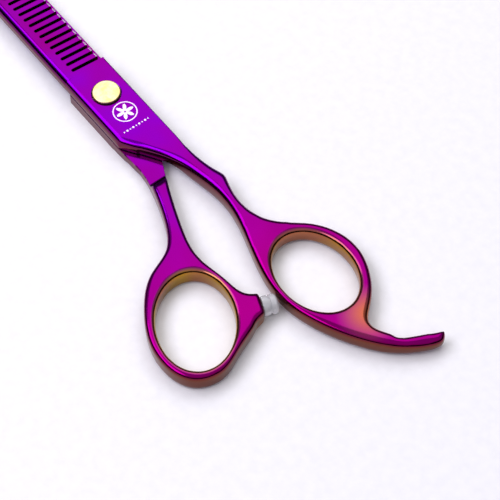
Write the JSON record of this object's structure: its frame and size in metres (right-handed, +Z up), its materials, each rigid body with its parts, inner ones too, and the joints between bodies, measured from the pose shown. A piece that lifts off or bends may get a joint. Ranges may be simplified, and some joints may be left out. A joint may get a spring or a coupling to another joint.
{
  "type": "thinning shears",
  "caption": "Hair-thinning shears with a toothed blade and a straight blade on a ball-bearing pivot, offset finger rings, a fixed tang and a rubber bumper.",
  "frame": {"origin": "on the pivot axis, in the plane the shears lie on, which is the closed face of the tension nut", "axes": "+X towards the blade tips, +Y towards the thumb ring's side, +Z up, along the pivot axis towards the screw's cap"},
  "size_m": [0.185, 0.0607, 0.0072],
  "materials": {
    "purple_steel": "mirror-polished stainless steel with a purple titanium vapour coating",
    "gold_screw": "gold-coloured plated steel, satin polished",
    "bearing_steel": "polished bearing steel",
    "cage_brass": "stamped brass",
    "bushing_nylon": "natural nylon",
    "glide_ptfe": "white PTFE",
    "spring_steel": "tempered spring steel",
    "clear_rubber": "clear silicone rubber",
    "stud_steel": "threaded stainless steel"
  },
  "bodies": {
    "thumb_half": {"straight_blade": "purple_steel", "pivot_screw": "gold_screw", "upper_race": "bearing_steel", "glide_washer": "glide_ptfe", "spring_disc": "spring_steel", "silencer_bumper": "clear_rubber", "bumper_stud": "stud_steel"},
    "finger_half": {"comb_blade": "purple_steel", "pivot_bushing": "bushing_nylon", "lower_race": "bearing_steel"},
    "ball_set": {"bearing_balls": "bearing_steel", "ball_cage": "cage_brass"},
    "nut": {"tension_nut": "gold_screw"}
  },
  "joints": [
    {"name": "pivot", "type": "hinge", "parent": "thumb_half", "child": "finger_half", "pos_m": [0, 0, 0.005], "axis": [0, 0, 1], "range_deg": [0, 60]},
    {"name": "ball_travel", "type": "hinge", "parent": "thumb_half", "child": "ball_set", "pos_m": [0, 0, 0.005], "axis": [0, 0, 1], "range_deg": [-1, 31]},
    {"name": "nut_turn", "type": "hinge", "parent": "thumb_half", "child": "nut", "pos_m": [0, 0, 0], "axis": [0, 0, 1], "range_deg": [-90, 90]}
  ],
  "couplings": [
    {"joint": "ball_travel", "follows": "pivot", "ratio": 0.5}
  ]
}
